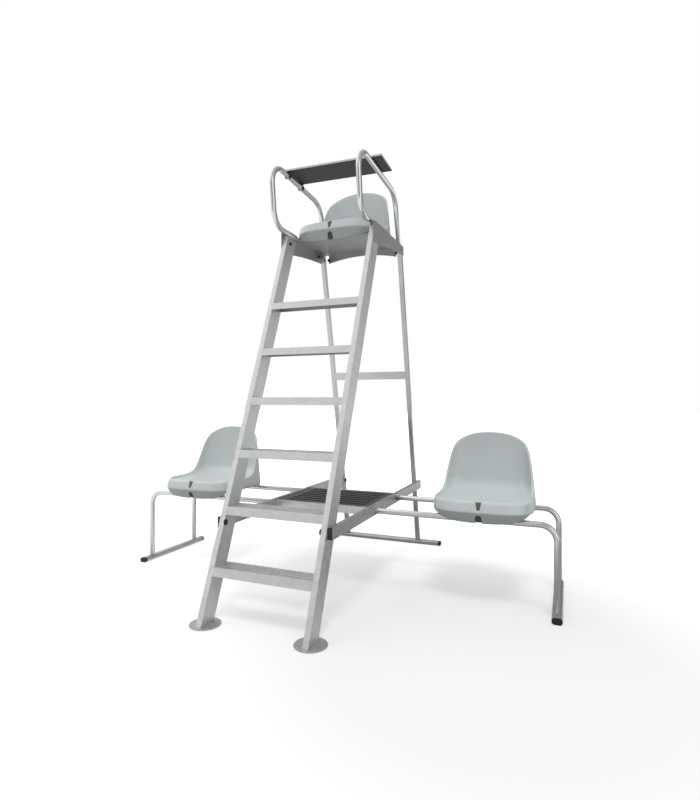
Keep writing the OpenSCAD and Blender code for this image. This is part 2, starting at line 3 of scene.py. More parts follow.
import bmesh
import bpy
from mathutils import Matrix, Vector


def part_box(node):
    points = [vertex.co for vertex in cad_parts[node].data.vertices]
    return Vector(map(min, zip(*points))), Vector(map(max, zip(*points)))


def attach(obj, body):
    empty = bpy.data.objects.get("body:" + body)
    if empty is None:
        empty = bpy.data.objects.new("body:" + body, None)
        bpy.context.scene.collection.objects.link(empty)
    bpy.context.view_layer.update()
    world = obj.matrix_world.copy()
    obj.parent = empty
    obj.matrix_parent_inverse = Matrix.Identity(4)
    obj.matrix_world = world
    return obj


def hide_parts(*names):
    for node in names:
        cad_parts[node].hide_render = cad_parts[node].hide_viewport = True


bl_info = {
    "name": "Umpire Chair",
    "version": (1, 0, 0),
    "blender": (4, 5, 0),
    "location": "3D View > Sidebar > Umpire Chair",
    "description": "Finishes a tennis umpire chair: seats, metal tube, desk, fittings and studio",
    "category": "Object",
}

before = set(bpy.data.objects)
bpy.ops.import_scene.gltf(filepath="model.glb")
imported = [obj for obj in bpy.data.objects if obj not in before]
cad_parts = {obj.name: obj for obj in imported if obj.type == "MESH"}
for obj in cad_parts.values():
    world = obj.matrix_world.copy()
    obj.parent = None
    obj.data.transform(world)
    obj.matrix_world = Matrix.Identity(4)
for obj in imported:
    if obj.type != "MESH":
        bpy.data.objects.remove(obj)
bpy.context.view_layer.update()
FRAME, DESK = "frame", "desk"      # the two bodies
CORNER = math.radians(35)          # edges that turn more than this are rounded off
FLAT = math.radians(0.4)           # triangles that turn less than this are one face
SAME_PLACE = 0.00002               # points nearer to each other than this are one point

# ---------------------------------------------------------------- small helpers


def deselect():
    """Leaves nothing selected, so that the next operator acts on the new piece alone."""
    bpy.ops.object.select_all(action="DESELECT")


def make_active(obj):
    deselect()
    obj.select_set(True)
    bpy.context.view_layer.objects.active = obj


def edit(obj):
    """Opens a piece in edit mode with nothing selected, and returns its edit mesh."""
    make_active(obj)
    bpy.ops.object.mode_set(mode="EDIT")
    bpy.ops.mesh.select_all(action="DESELECT")
    return bmesh.from_edit_mesh(obj.data)


def write_back(obj):
    """Writes the moved points back and keeps edit mode."""
    bmesh.update_edit_mesh(obj.data)


def leave():
    bpy.ops.object.mode_set(mode="OBJECT")


def select(obj, kind, wanted):
    """Selects the faces or the edges for which wanted() is true, in edit mode."""
    bpy.ops.mesh.select_mode(type=kind)
    bpy.ops.mesh.select_all(action="DESELECT")
    mesh = bmesh.from_edit_mesh(obj.data)
    for element in mesh.faces if kind == "FACE" else mesh.edges:
        element.select_set(wanted(element))
    bmesh.update_edit_mesh(obj.data)


def span(edge, axis):
    """How far an edge runs along an axis."""
    return abs(edge.verts[0].co[axis] - edge.verts[1].co[axis])


def apply_modifier(obj, kind, **settings):
    """Adds a modifier with its settings and applies it."""
    make_active(obj)
    modifier = obj.modifiers.new(kind.title(), kind)
    for key, value in settings.items():
        setattr(modifier, key, value)
    bpy.ops.object.modifier_apply(modifier=modifier.name)


def settle(obj):
    """Puts a piece's place, turn and scale into its mesh."""
    make_active(obj)
    bpy.ops.object.transform_apply(location=True, rotation=True, scale=True)


def smooth(obj, angle):
    """Shades a piece smooth, apart from edges that turn by more than angle in degrees."""
    make_active(obj)
    bpy.ops.object.shade_smooth_by_angle(angle=math.radians(angle))


def finish(name):
    """A finish by its name. The prefix keeps it apart from the frame's own materials."""
    return bpy.data.materials["finish_" + name]


def finish_piece(obj, name, body, material, stands_for=()):
    """Names a piece, gives it its finish and its body, and hides the CAD nodes it stands for."""
    settle(obj)
    obj.name = name
    obj.data.name = name
    if not obj.data.materials or obj.data.materials[0] != finish(material):
        obj.data.materials.clear()
        obj.data.materials.append(finish(material))
    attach(obj, body)
    if stands_for:
        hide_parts(*stands_for)
    return obj


def join(pieces):
    deselect()
    for piece in pieces:
        piece.select_set(True)
    bpy.context.view_layer.objects.active = pieces[0]
    if len(pieces) > 1:
        bpy.ops.object.join()
    return pieces[0]


def duplicate(obj, offset):
    """A copy with its own mesh, moved by offset."""
    make_active(obj)
    bpy.ops.object.duplicate(linked=False)
    copy = bpy.context.view_layer.objects.active
    copy.location = copy.location + Vector(offset)
    settle(copy)
    return copy


def placed(obj, place, facing, name):
    """A copy of a part drawn on the origin pointing up, put at a place and facing a direction."""
    copy = duplicate(obj, (0, 0, 0))
    copy.name = name
    copy.rotation_mode = "QUATERNION"
    copy.rotation_quaternion = Vector(facing).to_track_quat("Z", "Y")
    copy.location = place
    settle(copy)
    return copy


def merged_copy(node):
    """A CAD node's shape as a piece of its own, its triangles joined up into whole faces."""
    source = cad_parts[node]
    piece = bpy.data.objects.new(node + "_piece", source.data.copy())
    bpy.context.scene.collection.objects.link(piece)
    edit(piece)
    bpy.ops.mesh.select_all(action="SELECT")
    bpy.ops.mesh.remove_doubles(threshold=SAME_PLACE)
    bpy.ops.mesh.dissolve_limited(angle_limit=FLAT)
    leave()
    if piece.data.has_custom_normals:
        bpy.ops.mesh.customdata_custom_splitnormals_clear()
    return piece


def softened(node, width):
    """A copy of a CAD node with its sharp edges rounded off."""
    piece = merged_copy(node)
    apply_modifier(piece, "BEVEL", width=width, segments=2, limit_method="ANGLE",
                   angle_limit=CORNER, use_clamp_overlap=True)
    smooth(piece, 45)
    apply_modifier(piece, "WEIGHTED_NORMAL", keep_sharp=True)
    return piece


def turned_disc(radius, height, sides, edge):
    """A short turned part on the origin, with a chamfered top edge."""
    deselect()
    bpy.ops.mesh.primitive_cylinder_add(
        vertices=sides, radius=radius, depth=height, location=(0, 0, height / 2))
    disc = bpy.context.object
    settle(disc)
    edit(disc)
    select(disc, "FACE", lambda f: f.normal.z > 0.9)
    bpy.ops.mesh.bevel(offset=edge, segments=2)
    leave()
    return disc


# ---------------------------------------------------------------- settings


class SeatSettings(bpy.types.PropertyGroup):
    """Sizes of the moulded bucket seat."""

    foot_half_width: bpy.props.FloatProperty(
        name="Foot half width", description="Half the width at the foot of the skirt",
        default=0.226, unit="LENGTH")
    depth: bpy.props.FloatProperty(
        name="Depth", description="Depth over the skirt", default=0.430, unit="LENGTH")
    rim_height: bpy.props.FloatProperty(
        name="Rim height", description="Height of the front rim", default=0.045, unit="LENGTH")
    back_height: bpy.props.FloatProperty(
        name="Back height", description="Height of the top of the back",
        default=0.331, unit="LENGTH")
    chin_drop: bpy.props.FloatProperty(
        name="Chin drop", description="How far the front lip hangs below the seat",
        default=0.053, unit="LENGTH")
    wall: bpy.props.FloatProperty(
        name="Wall", description="Thickness of the moulded wall", default=0.0045, unit="LENGTH")


class FinishSettings(bpy.types.PropertyGroup):
    """Colours of the finishes."""

    ladder: bpy.props.FloatVectorProperty(
        name="Ladder aluminium", description="Mill-finished box section and treads",
        default=(0.72, 0.725, 0.725), subtype="COLOR", size=3)
    tube: bpy.props.FloatVectorProperty(
        name="Bright tube", description="Polished tube",
        default=(0.74, 0.74, 0.73), subtype="COLOR", size=3)
    section: bpy.props.FloatVectorProperty(
        name="Square tube", description="Legs, side bars, floor bars and rails",
        default=(0.60, 0.60, 0.58), subtype="COLOR", size=3)
    foot: bpy.props.FloatVectorProperty(
        name="Foot discs", description="Pressed steel",
        default=(0.60, 0.585, 0.57), subtype="COLOR", size=3)
    bolt: bpy.props.FloatVectorProperty(
        name="Bolts", description="Zinc-plated steel",
        default=(0.62, 0.62, 0.60), subtype="COLOR", size=3)
    sheet: bpy.props.FloatVectorProperty(
        name="Sheet metal", description="Platform and side plates",
        default=(0.50, 0.50, 0.49), subtype="COLOR", size=3)
    seat: bpy.props.FloatVectorProperty(
        name="Seat plastic", description="Moulded seats",
        default=(0.575, 0.618, 0.612), subtype="COLOR", size=3)
    black: bpy.props.FloatVectorProperty(
        name="Black plastic", description="Caps, clips and cap nuts",
        default=(0.012, 0.012, 0.013), subtype="COLOR", size=3)
    # The drain colour is painted shade: the dark plates behind the seats' drain openings stand for
    # the shade inside them.
    drain: bpy.props.FloatVectorProperty(
        name="Painted drain shade", description="Behind the drain openings of the seats",
        default=(0.085, 0.088, 0.085), subtype="COLOR", size=3)
    deck: bpy.props.FloatVectorProperty(
        name="Deck", description="Ribbed deck",
        default=(0.045, 0.045, 0.046), subtype="COLOR", size=3)
    desk: bpy.props.FloatVectorProperty(
        name="Desk board", description="Faces of the desk board",
        default=(0.085, 0.080, 0.070), subtype="COLOR", size=3)
    desk_edge: bpy.props.FloatVectorProperty(
        name="Desk edge", description="Edge band of the desk board",
        default=(0.66, 0.66, 0.64), subtype="COLOR", size=3)


class StageSettings(bpy.types.PropertyGroup):
    """Floor, lamps and camera."""

    camera_place: bpy.props.FloatVectorProperty(
        name="Camera place", description="Where the camera stands",
        default=(1.1517, -2.5512, 0.9356), subtype="TRANSLATION", unit="LENGTH", size=3)
    camera_turn: bpy.props.FloatProperty(
        name="Camera turn", description="Turn of the level camera about the vertical",
        default=0.3926, subtype="ANGLE", unit="ROTATION")
    lens: bpy.props.FloatProperty(
        name="Lens", description="Focal length in millimetres on a 36 mm sensor", default=23.69)
    top_power: bpy.props.FloatProperty(
        name="Top lamp", description="Strength of the lamp overhead", default=1.15)
    side_power: bpy.props.FloatProperty(
        name="Side lamp", description="Power of the soft lamp at the front left, in watts",
        default=7.4)
    sky: bpy.props.FloatProperty(
        name="Surround", description="Strength of the surrounding light", default=0.76)
    floor_lift: bpy.props.FloatProperty(
        name="Floor lift", description="How far the floor is lifted towards white", default=0.42)


# ---------------------------------------------------------------- node trees


class Nodes:
    """A node tree, with short calls for the nodes that the finishes and the surround share."""

    def __init__(self, tree):
        self.tree = tree

    def node(self, kind, **values):
        made = self.tree.nodes.new(kind)
        for key, value in values.items():
            setattr(made, key, value)
        return made

    def link(self, source, target):
        self.tree.links.new(source, target)

    def feed(self, socket, value):
        """Links a socket to another one, or sets it to a number or a colour."""
        if isinstance(value, bpy.types.NodeSocket):
            self.link(value, socket)
        elif isinstance(value, tuple):
            socket.default_value = (*value, 1)
        else:
            socket.default_value = value

    def spread(self, source, low, high, start=0.0, stop=1.0, easing="LINEAR"):
        """Maps source from start..stop to low..high."""
        made = self.node("ShaderNodeMapRange", interpolation_type=easing)
        ends = (("From Min", start), ("From Max", stop), ("To Min", low), ("To Max", high))
        for key, value in ends:
            made.inputs[key].default_value = value
        self.link(source, made.inputs["Value"])
        return made.outputs["Result"]

    def maths(self, operation, first, second):
        made = self.node("ShaderNodeMath", operation=operation)
        self.feed(made.inputs[0], first)
        self.feed(made.inputs[1], second)
        return made.outputs["Value"]

    def measured(self, operation, source, point):
        """The distance of a place from a point, or how far it lies along a direction."""
        made = self.node("ShaderNodeVectorMath", operation=operation)
        made.inputs[1].default_value = point
        self.link(source, made.inputs[0])
        return made.outputs["Value"]


class Shader(Nodes):
    """A new finish and its node tree, on the piece's own coordinates."""

    def __init__(self, name):
        self.material = bpy.data.materials.new("finish_" + name)
        self.material.use_nodes = True
        super().__init__(self.material.node_tree)
        self.surface = self.tree.nodes["Principled BSDF"]
        self.place = self.node("ShaderNodeTexCoord").outputs["Object"]

    def noise(self, scale, detail, stretch=(1, 1, 1), rough=0.5):
        place = self.node("ShaderNodeMapping")
        place.inputs["Scale"].default_value = stretch
        self.link(self.place, place.inputs["Vector"])
        made = self.node("ShaderNodeTexNoise")
        for key, value in (("Scale", scale), ("Detail", detail), ("Roughness", rough)):
            made.inputs[key].default_value = value
        self.link(place.outputs["Vector"], made.inputs["Vector"])
        return made.outputs["Fac"]

    def blend(self, factor, first, second):
        """Colour between two colours."""
        made = self.node("ShaderNodeMix", data_type="RGBA")
        self.link(factor, made.inputs["Factor"])
        self.feed(made.inputs["A"], first)
        self.feed(made.inputs["B"], second)
        return made.outputs["Result"]

    def patches(self, source, start, stop, first, second):
        """Goes from the first colour to the second where source rises from start to stop."""
        return self.blend(self.spread(source, 0, 1, start, stop), first, second)

    def bump(self, height, depth, strength):
        made = self.node("ShaderNodeBump")
        made.inputs["Distance"].default_value = depth
        made.inputs["Strength"].default_value = strength
        self.link(height, made.inputs["Height"])
        self.link(made.outputs["Normal"], self.surface.inputs["Normal"])

    def set(self, **values):
        for key, value in values.items():
            self.feed(self.surface.inputs[key.replace("_", " ")], value)


def toned(colour, factor):
    """A lighter or darker shade of a colour."""
    return tuple(min(1.0, channel * factor) for channel in colour)


def tread_aluminium_shaded(shade, colour):
    """The same mill aluminium as the stiles, toned a little darker all over as painted shade."""
    ladder_aluminium(shade, toned(colour, 0.90))


def ladder_aluminium(shade, colour):
    """Mill aluminium: a cloudy bloom with fine pale and dark specks."""
    cloud = shade.noise(scale=24, detail=5, rough=0.6)
    speck = shade.noise(scale=330, detail=3, rough=0.7)
    mottle = shade.patches(cloud, 0.35, 0.65, toned(colour, 0.90), toned(colour, 1.06))
    pale = shade.patches(speck, 0.58, 0.70, mottle, toned(colour, 1.22))
    shade.set(
        Base_Color=shade.blend(shade.spread(speck, 1, 0, 0.30, 0.42), pale, toned(colour, 0.70)),
        Metallic=0.80,
        Roughness=shade.spread(cloud, 0.36, 0.52, 0.3, 0.7),
    )
    grit = shade.maths("ADD", speck, shade.noise(scale=900, detail=2))
    shade.bump(grit, depth=0.0002, strength=0.35)


def painted_groove_shade(shade, colour):
    """Painted shade in the floors of the treads' grooves: dark and grainy."""
    grain = shade.noise(scale=600, detail=3)
    shade.set(
        Base_Color=shade.blend(grain, toned(colour, 0.16), toned(colour, 0.30)),
        Roughness=0.8,
    )


def square_tube(shade, colour):
    """Extruded square tube: satin, with long faint die lines and small rubs."""
    cloud = shade.noise(scale=18, detail=4, rough=0.6)
    lines = shade.noise(scale=140, detail=3, stretch=(1.0, 1.0, 0.08))
    shade.set(
        Base_Color=shade.patches(cloud, 0.35, 0.65, toned(colour, 0.90), toned(colour, 1.05)),
        Metallic=0.95,
        Roughness=shade.spread(shade.maths("ADD", cloud, lines), 0.24, 0.40, 0.7, 1.3),
    )
    shade.bump(lines, depth=0.0001, strength=0.3)


def foot_steel(shade, colour):
    """Pressed steel disc, dull, with a warm grey cast and scuffs."""
    scuff = shade.noise(scale=70, detail=6, rough=0.7)
    shade.set(
        Base_Color=shade.patches(scuff, 0.4, 0.7, colour, toned(colour, 0.75)),
        Metallic=0.75,
        Roughness=shade.spread(scuff, 0.38, 0.60, 0.3, 0.7),
    )
    shade.bump(scuff, depth=0.0002, strength=0.3)


def bright_tube(shade, colour):
    """Polished aluminium tube, faintly clouded by handling."""
    rub = shade.noise(scale=14, detail=3)
    shade.set(
        Base_Color=shade.blend(rub, toned(colour, 0.97), toned(colour, 1.03)),
        Metallic=1.0,
        Roughness=shade.spread(rub, 0.24, 0.29, 0.3, 0.7),
    )


def sheet_metal(shade, colour):
    """Rolled sheet with grain along its width."""
    grain = shade.noise(scale=90, detail=4, stretch=(1.0, 9.0, 9.0))
    cloud = shade.noise(scale=9, detail=3)
    shade.set(
        Base_Color=shade.blend(cloud, toned(colour, 0.9), toned(colour, 1.08)),
        Metallic=0.85,
        Roughness=shade.spread(grain, 0.36, 0.52, 0.3, 0.7),
    )
    shade.bump(grain, depth=0.0002, strength=0.25)


def seat_plastic(shade, colour):
    """Glossy moulded plastic, faintly cloudy."""
    cloud = shade.noise(scale=7, detail=2)
    shade.set(
        Base_Color=shade.blend(cloud, toned(colour, 0.97), toned(colour, 1.03)),
        Roughness=shade.spread(shade.noise(scale=12, detail=3), 0.28, 0.32, 0.3, 0.7),
        Coat_Weight=0.25,
        Coat_Roughness=0.14,
    )


def painted_drain_shade(shade, colour):
    """Painted shade behind the drain openings: dark grey, with a dusty mottle."""
    dust = shade.noise(scale=150, detail=4)
    shade.set(
        Base_Color=shade.blend(dust, colour, toned(colour, 1.5)),
        Roughness=shade.spread(dust, 0.5, 0.7),
    )
    shade.bump(dust, depth=0.0002, strength=0.3)


def black_plastic(shade, colour):
    """Moulded black plastic with a fine spark texture."""
    grain = shade.noise(scale=1100, detail=2)
    shade.set(
        Base_Color=shade.blend(grain, colour, toned(colour, 1.8)),
        Roughness=shade.spread(grain, 0.38, 0.55),
    )
    shade.bump(grain, depth=0.0002, strength=0.4)


def deck_rubber(shade, colour):
    """Dark ribbed deck, with dusty patches."""
    dust = shade.noise(scale=35, detail=5)
    shade.set(
        Base_Color=shade.patches(dust, 0.45, 0.75, colour, toned(colour, 1.8)),
        Roughness=shade.spread(dust, 0.35, 0.55, 0.3, 0.7),
    )
    shade.bump(shade.noise(scale=800, detail=3), depth=0.0003, strength=0.4)


def desk_laminate(shade, colour):
    """Dark laminate with a faint fibre along its width."""
    fibre = shade.noise(scale=60, detail=5, stretch=(0.25, 3.0, 3.0))
    shade.set(
        Base_Color=shade.patches(fibre, 0.35, 0.65, toned(colour, 0.86), toned(colour, 1.16)),
        Roughness=shade.spread(fibre, 0.40, 0.55, 0.3, 0.7),
    )
    shade.bump(fibre, depth=0.0002, strength=0.25)


def desk_band(shade, colour):
    """Light edge band, slightly scuffed."""
    scuff = shade.noise(scale=120, detail=4)
    shade.set(
        Base_Color=shade.patches(scuff, 0.5, 0.8, colour, toned(colour, 0.8)),
        Roughness=shade.spread(scuff, 0.35, 0.5),
    )
    shade.bump(scuff, depth=0.0001, strength=0.3)


def zinc_bolt(shade, colour):
    """Zinc-plated steel for bolts and washers."""
    cloud = shade.noise(scale=300, detail=3)
    shade.set(
        Base_Color=shade.blend(cloud, toned(colour, 0.85), colour),
        Metallic=1.0,
        Roughness=shade.spread(cloud, 0.25, 0.4),
    )
    shade.bump(cloud, depth=0.0001, strength=0.3)


class UMPIRE_OT_finishes(bpy.types.Operator):
    """Make the finishes of the metal, the plastic and the board"""

    bl_idname = "umpire.finishes"
    bl_label = "Finishes"
    bl_options = {"REGISTER", "UNDO"}

    def execute(self, context):
        colours = context.scene.umpire_finish
        for make, colour in (
                (ladder_aluminium, colours.ladder), (tread_aluminium_shaded, colours.ladder),
                (painted_groove_shade, colours.ladder), (square_tube, colours.section),
                (bright_tube, colours.tube), (sheet_metal, colours.sheet),
                (foot_steel, colours.foot), (seat_plastic, colours.seat),
                (black_plastic, colours.black), (deck_rubber, colours.deck),
                (desk_laminate, colours.desk), (desk_band, colours.desk_edge),
                (zinc_bolt, colours.bolt), (painted_drain_shade, colours.drain)):
            make(Shader(make.__name__), tuple(colour))
        return {"FINISHED"}


# ---------------------------------------------------------------- the seats

# How square the outline is in plan, at the front and the rear, and the arch of the back.
FRONT_SQUARENESS = 3.8
REAR_SQUARENESS = 6.0
ARCH_SQUARENESS = 2.3
# Height of the rim along a side, by the distance behind the front of the seat.
WING_EDGE = (
    (0.0, 0.045), (0.200, 0.045), (0.240, 0.0455), (0.272, 0.051), (0.292, 0.058),
    (0.308, 0.068), (0.320, 0.081), (0.330, 0.096), (0.339, 0.112), (0.350, 0.136),
    (0.361, 0.165), (0.372, 0.196), (0.384, 0.228), (0.396, 0.258), (0.410, 0.300),
    (0.430, 0.360),
)
SIDE_LEAN = 0.1          # how far the sides lean in, for each metre up
ARCH_RISE = 0.131        # from the foot of the back's arch to its top
ARCH_REACH = 0.06        # the width the arch is fitted to counts up to here above its foot
ARCH_BLEND = 0.030       # over this height the side edge runs softly into the arch
TRACK_STEPS = 4000       # fine steps round the outline, from which the stations are picked
HEIGHT_WEIGHT = 0.75     # how much height counts in the spacing of the stations
RIM_SETBACK = 0.016      # how far the front of the rim stands behind the front of the skirt
LIP_SPAN = 0.93          # share of the seat's width that the front lip takes
LIP_SQUARENESS = 2.6
LIP_TUCK = 0.025         # how far the foot of the lip is tucked in
FOOT_CURL = 0.006        # height of the curl at the foot of the skirt
UNDERSIDE = 0.015        # height of the pan's underside
PAN_MIDDLE = 0.0215      # height of the middle of the pan
PAN_INSET = 0.214        # how far from the outer face the pan's level middle begins
ARCH_FROM = 0.2          # the back's arch begins this share of the way to the rear
LIP_TO = -0.2            # and the front lip ends this share of the way to the front
RIB_PLACE = 0.1615       # how far the ribs, and the bolts under them, stand from the middle
STATIONS = 112           # points round a ring
SKIRT_DROP = 0.008       # how far the sides of a bench seat's skirt hang down


def between(table, value):
    """Reads a table of pairs at a value, straight between its entries."""
    if value <= table[0][0]:
        return table[0][1]
    for (a, low), (b, high) in zip(table, table[1:]):
        if value <= b:
            return low + (high - low) * (value - a) / (b - a)
    return table[-1][1]


def ease(value, start, stop):
    """Rises smoothly from 0 at start to 1 at stop."""
    t = min(1.0, max(0.0, (value - start) / (stop - start)))
    return t * t * (3 - 2 * t)


class SeatShape:
    """The moulded seat as rings of points, its front-most point at y = 0, resting on z = 0."""

    def __init__(self, sizes, skirt_drop):
        self.sizes = sizes
        self.middle = sizes.depth / 2
        self.skirt_drop = skirt_drop
        self.spring = sizes.back_height - ARCH_RISE
        self.stations = self.spaced(STATIONS)
        rows = zip(*(self.section(station) for station in self.stations))
        self.rings = [
            [self.point(station, inset, z) for station, (inset, z) in zip(self.stations, row)]
            for row in rows]

    def half_width(self, z):
        """Half the seat's width at a height."""
        return self.sizes.foot_half_width - SIDE_LEAN * z

    def rim(self, u, v):
        """Height of the rim at the plan point (u, v) of the unit outline."""
        y = self.middle * (1 + v)
        side = between(WING_EDGE, y)
        if v < ARCH_FROM:
            return side
        widest = self.half_width(min(side, self.spring + ARCH_REACH))
        across = min(1.0, abs(u) * widest / self.half_width(self.spring))
        arch = self.spring + (self.sizes.back_height - self.spring) * (
            max(0.0, 1 - across ** ARCH_SQUARENESS) ** (1 / ARCH_SQUARENESS))
        low, high = min(side, arch), max(side, arch)
        return low - max(0.0, ARCH_BLEND - (high - low)) ** 2 / (4 * ARCH_BLEND)

    def outline(self, turn):
        """The plan point (u, v) of the unit outline at a turn about its middle."""
        c, s = math.cos(turn), math.sin(turn)
        power = 2 / (REAR_SQUARENESS if s > 0 else FRONT_SQUARENESS)
        return math.copysign(abs(c) ** power, c), math.copysign(abs(s) ** power, s)

    def spaced(self, count):
        """Plan points whose rim points are evenly spaced along the rim."""
        track = []
        for i in range(TRACK_STEPS + 1):
            u, v = self.outline(2 * math.pi * i / TRACK_STEPS - math.pi / 2)
            z = self.rim(u, v)
            place = Vector((self.half_width(z) * u, self.middle * v, HEIGHT_WEIGHT * z))
            track.append((u, v, z, place))
        run = [0.0]
        for first, second in zip(track, track[1:]):
            run.append(run[-1] + (second[3] - first[3]).length)
        found, k = [], 0
        for i in range(count):
            wanted = run[-1] * i / count
            while run[k] < wanted:
                k += 1
            found.append(track[k][:3])
        return found

    def point(self, station, inset, z):
        """A point of the shell at a height, inset from the outer face; the front leans back."""
        u, v, _ = station
        lean = RIM_SETBACK * max(0.0, min(z, self.sizes.rim_height)) / self.sizes.rim_height
        x = (self.half_width(z) - inset) * u
        y = self.middle + (self.middle - inset) * v + lean * ease(-v, 0.35, 0.95)
        return Vector((x, y, z))

    def section(self, station):
        """Inset and height of each ring at one station, from the underside out, up and in."""
        u, v, top = station
        # how much of this station counts as the front, the back and the side
        front, back = ease(-v, 0.35, 0.9), ease(v, 0.35, 0.95)
        side = 1 - front - back
        foot = -0.006 * front - self.skirt_drop * side + 0.0004 * back
        radius = 0.0052 + 0.0055 * front
        row = self.underside(u, v, foot)
        for part in (0.3, 0.6, 0.85):
            row.append((0.0, foot + FOOT_CURL + (top - radius - foot - FOOT_CURL) * part))
        for step in range(7):
            turn = math.pi * step / 6
            row.append((radius - radius * math.cos(turn), top - radius + radius * math.sin(turn)))
        return row + self.hollow(top, radius, front, side, back)

    def underside(self, u, v, foot):
        """From the middle of the underside to the foot of the skirt, down round the front lip."""
        lens = 0.0
        if v < LIP_TO:
            across = min(1.0, abs(u) / LIP_SPAN)
            lens = max(0.0, 1 - across ** LIP_SQUARENESS) ** (1 / LIP_SQUARENESS)
        lip, wall = LIP_TUCK * lens, self.sizes.wall
        bottom = foot - 0.0015 - (self.sizes.chin_drop - 0.006) * lens
        return [
            (0.205, UNDERSIDE), (0.15, UNDERSIDE), (0.09, UNDERSIDE), (0.035, UNDERSIDE),
            (wall + 0.006, UNDERSIDE - 0.001), (wall + 0.001, UNDERSIDE - 0.006),
            (wall + 0.5 * lip, foot + 0.5 * (bottom - foot) + 0.002),
            (wall + lip + 0.0005, bottom + 0.001), (wall + lip - 0.001, bottom),
            (lip + 0.001, bottom), (lip + 0.0002, bottom + 0.001),
            (0.5 * lip, 0.5 * (foot + bottom)),
            (0.0012, foot - 0.0012), (0.0, foot + 0.0015), (0.0, foot + FOOT_CURL),
        ]

    def hollow(self, top, radius, front, side, back):
        """From the rim down the inner wall, round its foot and over the pan to its middle."""
        floor = 0.0245 + 0.0055 * front + 0.001 * side      # height of the pan's edge
        across = 0.018 + 0.030 * side + 0.057 * back        # width of the round at its foot
        up = min(across, top - radius - floor - 0.002)      # and its height
        gap = top - radius - floor - up                     # what is left for the wall
        draw = 0.006 * back + 0.004 * side                  # how far the wall leans in
        row = []
        for part in (0.12, 0.4, 0.7, 1.0):
            row.append((2 * radius + draw * part, top - radius - gap * part))
        for step in range(1, 6):
            turn = math.pi / 2 * step / 5
            row.append((
                2 * radius + draw + across * (1 - math.cos(turn)),
                floor + up * (1 - math.sin(turn))))
        edge = 2 * radius + draw + across
        for part in (0.12, 0.3, 0.5, 0.7, 0.86, 0.955):
            inset = edge + (PAN_INSET - edge) * part
            row.append((inset, floor + (PAN_MIDDLE - floor) * ease(part, 0, 1)))
        return row


def ring_mesh(rings, name):
    """A closed shell through rings of points: one circle, extruded ring by ring."""
    count = len(rings[0])
    deselect()
    bpy.ops.mesh.primitive_circle_add(vertices=count, radius=0.1, fill_type="NOTHING")
    obj = bpy.context.object
    obj.name = name
    bpy.ops.object.mode_set(mode="EDIT")
    bpy.ops.mesh.select_mode(type="VERT")
    mesh = bmesh.from_edit_mesh(obj.data)
    tag = mesh.verts.layers.int.new("station")
    for i, vert in enumerate(sorted(mesh.verts, key=lambda v: math.atan2(v.co.y, v.co.x))):
        vert[tag] = i
        vert.co = rings[0][i]
    write_back(obj)
    for ring in rings[1:]:
        bpy.ops.mesh.extrude_region_move()
        mesh = bmesh.from_edit_mesh(obj.data)
        tag = mesh.verts.layers.int["station"]
        for vert in mesh.verts:
            if vert.select:
                vert.co = ring[vert[tag]]
        write_back(obj)
    bpy.ops.mesh.merge(type="CENTER")
    first = rings[0]
    mesh = bmesh.from_edit_mesh(obj.data)
    for vert in mesh.verts:
        vert.select_set(any((vert.co - p).length < 1e-6 for p in first))
    mesh.select_flush(True)
    write_back(obj)
    bpy.ops.mesh.merge(type="CENTER")
    bpy.ops.mesh.select_all(action="SELECT")
    bpy.ops.mesh.normals_make_consistent(inside=False)
    leave()
    return obj


def box_at(low, high):
    """A box from its lowest to its highest corner, with its place in its mesh."""
    deselect()
    low, high = Vector(low), Vector(high)
    bpy.ops.mesh.primitive_cube_add(size=1, location=(low + high) / 2)
    box = bpy.context.object
    box.scale = high - low
    settle(box)
    return box


def groove_cutter():
    """The drain groove: a wedge, narrow at its foot, whose rounded floor climbs to the pan."""
    cutter = box_at((-0.019, -0.010, 0.003), (0.019, 0.040, 0.060))
    mesh = edit(cutter)
    for vert in mesh.verts:
        if vert.co.z < 0.01:
            vert.co.x *= 0.16
            vert.co.z = 0.036 if vert.co.y > 0 else -0.012
            if vert.co.y > 0:
                vert.co.x *= 3.5
    write_back(cutter)
    select(cutter, "EDGE", lambda e: all(abs(v.co.x) < 0.012 for v in e.verts)
           and span(e, 1) > 0.01)
    bpy.ops.mesh.bevel(offset=0.002, segments=4)
    leave()
    return cutter


def slot_cutter():
    """The slot in the lip, open at the foot, with a rounded head."""
    cutter = box_at((-0.014, -0.010, -0.070), (0.014, 0.060, -0.016))
    edit(cutter)
    select(cutter, "EDGE", lambda e: all(v.co.z > -0.03 for v in e.verts) and span(e, 1) > 0.01)
    bpy.ops.mesh.bevel(offset=0.0135, segments=8)
    leave()
    return cutter


def shape_with(obj, tool, operation):
    """Takes a tool's shape out of a piece, or adds it, and removes the tool."""
    apply_modifier(obj, "BOOLEAN", operation=operation, solver="FAST", object=tool)
    bpy.data.objects.remove(tool, do_unlink=True)


